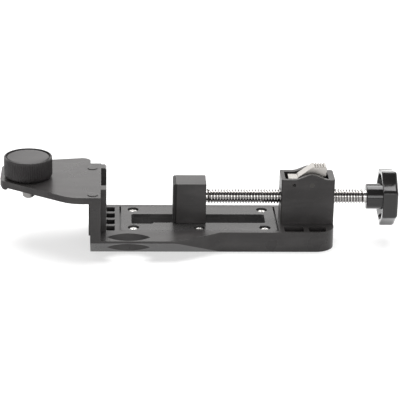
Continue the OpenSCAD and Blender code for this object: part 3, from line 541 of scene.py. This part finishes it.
def lever_cheek():
    """Side plate round both pins, with the skirt under the pad."""
    x0, x1 = LEVER_X0, LEVER_X1
    return [(x0, FOOT_Z - 0.4), (x0, PIN_Z - 1.6), (x0 + 0.6, PIN_Z - 2.2),
            (CHEEK_X1 - 0.8, PIN_Z - 2.4), (CHEEK_X1, PIN_Z - 1.6), (CHEEK_X1, SKIRT_Z),
            (x1 - 0.9, SKIRT_Z), (x1 - 0.45, SKIRT_Z + 0.25), (x1 - 0.3, SKIRT_Z + 0.6),
            (x1 - 0.3, TOP - 0.95), (PAD_X, TOP - 0.95), (ARM_X + 0.6, FOOT_Z - 0.4)]


def drill(x, radius, wide=0.0):
    """Round bar across the lever, or a flat-sided one that is wider by twice wide."""
    outline = []
    for k in range(HOLE_SIDES):
        a = TAU * (k + 0.5) / HOLE_SIDES
        outline.append((x + math.copysign(wide, math.cos(a)) + radius * math.cos(a),
                        PIN_Z + radius * math.sin(a)))
    return slab(outline, LEVER_Y0 - 1, LEVER_Y1 + 1)


def cut_away(ob, tool_mesh):
    """Cuts the tool's shape out of a piece for good."""
    tool = bpy.data.objects.new("drill", tool_mesh)
    bpy.context.scene.collection.objects.link(tool)
    mod = ob.modifiers.new("holes", "BOOLEAN")
    mod.operation = "DIFFERENCE"
    mod.object = tool
    bpy.context.view_layer.update()
    result = bpy.data.meshes.new_from_object(ob.evaluated_get(bpy.context.evaluated_depsgraph_get()))
    ob.modifiers.clear()
    ob.data = result
    bpy.data.objects.remove(tool)


plate = add("release_lever_plate", mesh("lever_plate", slab(lever_fold(), LEVER_Y0, LEVER_Y1)),
            nickel, "lever", "release_lever")
bevel(plate, 0.00016, 50)
shade(plate.data, 28)
front_cheek = slab(lever_cheek(), LEVER_Y0 + 0.02, LEVER_Y0 + CHEEK_T)
back_cheek = slab(lever_cheek(), LEVER_Y1 - CHEEK_T, LEVER_Y1 - 0.02)
sides = add("release_lever_sides", mesh("lever_sides", front_cheek, back_cheek),
            nickel, "lever", "release_lever")
cut_away(sides, mesh("drill", drill(PIN_X, 1.2), drill(NUT_X, 0.98, 0.18)))

# Moulded and plated pieces
rounded("base_frame", black, 0.00030)
rounded("nut_housing", house, 0.00035)
rounded("sliding_jaw", jaw_black, 0.00035)
rounded("jaw_pad", pad_black, 0.00025)
rounded("slide_plate", plate_dark, 0.00012)
for n in ("jaw_shoe_screws", "housing_screws"):
    rounded(n, screw_zinc, 0.00012)
rounded("thumb_screw", dull_steel, 0.00010)

# Slide plate's screws, in millimetres
SCREW_XS, SCREW_YS = (14.2, 48.35, 82.8), (-12.8, 12.8)
SCREW_TOP = ends("slide_plate_screws", 2)[1]
HEAD_R, HEAD_H, SHANK_R, SCREW_LEN = 2.2, 1.0, 1.2, 6.6
CROWN, RECESS, ARM_W, ARM_LEN = 0.45, 0.62, 0.42, 1.35
# Widths of the recess's sloping walls, along its arms and at their ends
WALL, END_WALL = 0.12, 0.25


def cross_screw(x, y, turn, rings=26, cols=64):
    """Domed head with a cross recess, over a plain shank."""
    verts = [(x, y, SCREW_TOP - RECESS)]
    for i in range(1, rings + 1):
        q = HEAD_R * i / rings
        for j in range(cols):
            a = TAU * j / cols
            u, v = abs(q * math.cos(a)), abs(q * math.sin(a))
            arm = clamp((ARM_W - min(u, v)) / WALL) * clamp((ARM_LEN - max(u, v)) / END_WALL)
            z = SCREW_TOP - CROWN * (q / HEAD_R) ** 2 - RECESS * arm
            verts.append((x + q * math.cos(a + turn), y + q * math.sin(a + turn), z))
    below = [(HEAD_R, HEAD_H - 0.05), (HEAD_R - 0.05, HEAD_H), (SHANK_R, HEAD_H), (SHANK_R, SCREW_LEN)]
    for r, depth in below:
        for j in range(cols):
            a = TAU * j / cols
            verts.append((x + r * math.cos(a), y + r * math.sin(a), SCREW_TOP - depth))
    faces = [(0, 1 + j, 1 + (j + 1) % cols) for j in range(cols)]
    for i in range(rings + len(below) - 1):
        for j in range(cols):
            b, c = 1 + i * cols + j, 1 + i * cols + (j + 1) % cols
            faces.append((b, b + cols, c + cols, c))
    faces.append(tuple(range(len(verts) - cols, len(verts))))
    return verts, faces


# Each screw was driven home at a turn of its own
places = [(x, y) for x in SCREW_XS for y in SCREW_YS]
screws = [cross_screw(x, y, 0.35 * k * k + 0.15 * k) for k, (x, y) in enumerate(places)]
add("plate_screws_crossed", mesh("plate_screws", *screws), screw_zinc, body_of("slide_plate_screws"),
    "slide_plate_screws", smooth=38)

# The lever's spring stands on the shelf under the pad, and the lever presses it; in millimetres
COIL_R, WIRE_R, CURLS = 1.6, 0.25, 6
COIL_X, COIL_Y = middle("lever_spring", 0), middle("lever_spring", 1)
SEAT, REACH = ends("lever_spring", 2)


def coil(steps=32, sides=12):
    """One round wire, which lies flat for half a turn at both ends."""
    verts = []
    rows = CURLS * steps + 1
    for i in range(rows):
        a = TAU * i / steps
        t = clamp((i - steps / 2) / ((CURLS - 1) * steps))
        z = SEAT + WIRE_R + (REACH - SEAT - 2 * WIRE_R) * t
        for j in range(sides):
            b = TAU * j / sides
            q = COIL_R + WIRE_R * math.cos(b)
            verts.append((COIL_X + q * math.cos(a), COIL_Y + q * math.sin(a), z + WIRE_R * math.sin(b)))
    caps = [tuple(range(sides)), tuple(range((rows - 1) * sides, rows * sides))]
    return verts, ring_faces(rows, sides) + caps


spring = add("lever_spring_coil", mesh("lever_spring", coil()), steel, body_of("lever_spring"),
             "lever_spring", smooth=60)
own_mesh(spring)

# CAD pieces that keep their shape and only get a finish
LOOKS = {
    "jaw_shoe": plate_dark, "half_nut": brass, "lever_pin": dark_steel,
    "spindle_bush_left": dark_steel, "spindle_bush_right": dark_steel,
    "nut_pin": steel, "thumb_washer": steel, "thrust_washer": steel, "spindle_retaining_ring": steel,
    "knob_roll_pin": steel, "thumb_retaining_clip": steel,
}
for n, m in LOOKS.items():
    me = NODES[n].data
    me.materials.clear()
    me.materials.append(m)

# Floor, in metres: pale and matt, and lit a little from itself so that its shadow stays soft
FLOOR_SIZE, FLOOR_Y, FLOOR_Z = 14, 3, -0.0002
FLOOR_TONE, FLOOR_GLOW = 0.42, 0.6
bpy.ops.mesh.primitive_plane_add(size=FLOOR_SIZE, location=(0, FLOOR_Y, FLOOR_Z))
floor = bpy.context.object
floor.name = "floor"
floor.data.materials.append(Tree("floor_white").out(
    Base_Color=(FLOOR_TONE, FLOOR_TONE, FLOOR_TONE, 1), Roughness=0.9, Specular_IOR_Level=0.0,
    Emission_Color=(1, 1, 1, 1), Emission_Strength=FLOOR_GLOW))

# Surroundings: pale paper round the horizon, brighter behind, and a grey room above it
BACK, SIDE, ROOM = 1.9, 0.8, 0.2
BEHIND, PAPER_TOP = (0.0, 0.6), (0.58, 0.40)
world = bpy.data.worlds.new("studio")
bpy.context.scene.world = world
world.use_nodes = True
wt = world.node_tree
sep = wt.nodes.new("ShaderNodeSeparateXYZ")
wt.links.new(wt.nodes.new("ShaderNodeTexCoord").outputs["Generated"], sep.inputs[0])


def band(axis, a, b):
    """0 at a, 1 at b along an axis of the surroundings."""
    n = wt.nodes.new("ShaderNodeMapRange")
    n.interpolation_type = "SMOOTHSTEP"
    wt.links.new(sep.outputs[axis], n.inputs[0])
    low, high = (0, 1) if a < b else (1, 0)
    for socket, value in zip(n.inputs[1:5], (min(a, b), max(a, b), low, high)):
        socket.default_value = value
    return n.outputs[0]


def calc(op, a, b):
    """Sum or product of two values of the surroundings."""
    n = wt.nodes.new("ShaderNodeMath")
    n.operation = op
    feed(wt, a, n.inputs[0])
    feed(wt, b, n.inputs[1])
    return n.outputs[0]


paper = calc("ADD", calc("MULTIPLY", band(1, *BEHIND), BACK - SIDE), SIDE - ROOM)
paper = calc("MULTIPLY", paper, band(2, *PAPER_TOP))
wt.links.new(calc("ADD", paper, ROOM), wt.nodes["Background"].inputs[1])
wt.nodes["Background"].inputs[0].default_value = (1, 0.99, 0.98, 1)


def area(name, place, aim, size, power):
    """Soft rectangular light, in metres and watts."""
    light = bpy.data.lights.new(name, "AREA")
    light.shape = "RECTANGLE"
    light.size, light.size_y = size
    light.energy = power
    ob = bpy.data.objects.new(name, light)
    bpy.context.scene.collection.objects.link(ob)
    ob.location = place
    ob.rotation_euler = (Vector(aim) - Vector(place)).to_track_quat("-Z", "Y").to_euler()


area("overhead", (0.05, 0.55, 1.5), (0.05, 0, 0), (1.7, 1.4), 52)
area("front_strip", (0.05, -1.5, 0.45), (0.05, 0, 0.02), (2.2, 0.5), 12)

# Camera, fitted to the photograph's edges: its focal length in pixels, and its place in metres
FOCAL_PX, WIDTH_PX, SENSOR = 1928.035, 400, 36
EYE = Vector((0.0047, -0.9446, 0.3853))
AHEAD = Vector((0.0439, 0.9322, -0.3593)).normalized()
UPWARDS = Vector((-0.0035, 0.3598, 0.9330))
cam = bpy.data.cameras.new("camera")
cam.lens = FOCAL_PX / WIDTH_PX * SENSOR
cam.sensor_width = SENSOR
cam.sensor_height = SENSOR
cam.sensor_fit = "AUTO"
cam.clip_end = 20
ob = bpy.data.objects.new("camera", cam)
bpy.context.scene.collection.objects.link(ob)
right = AHEAD.cross(UPWARDS).normalized()
up = right.cross(AHEAD).normalized()
turned = Matrix((right, up, -AHEAD)).transposed().to_4x4()
ob.matrix_world = Matrix.Translation(EYE) @ turned
bpy.context.scene.camera = ob
bpy.context.scene.view_settings.view_transform = "Standard"
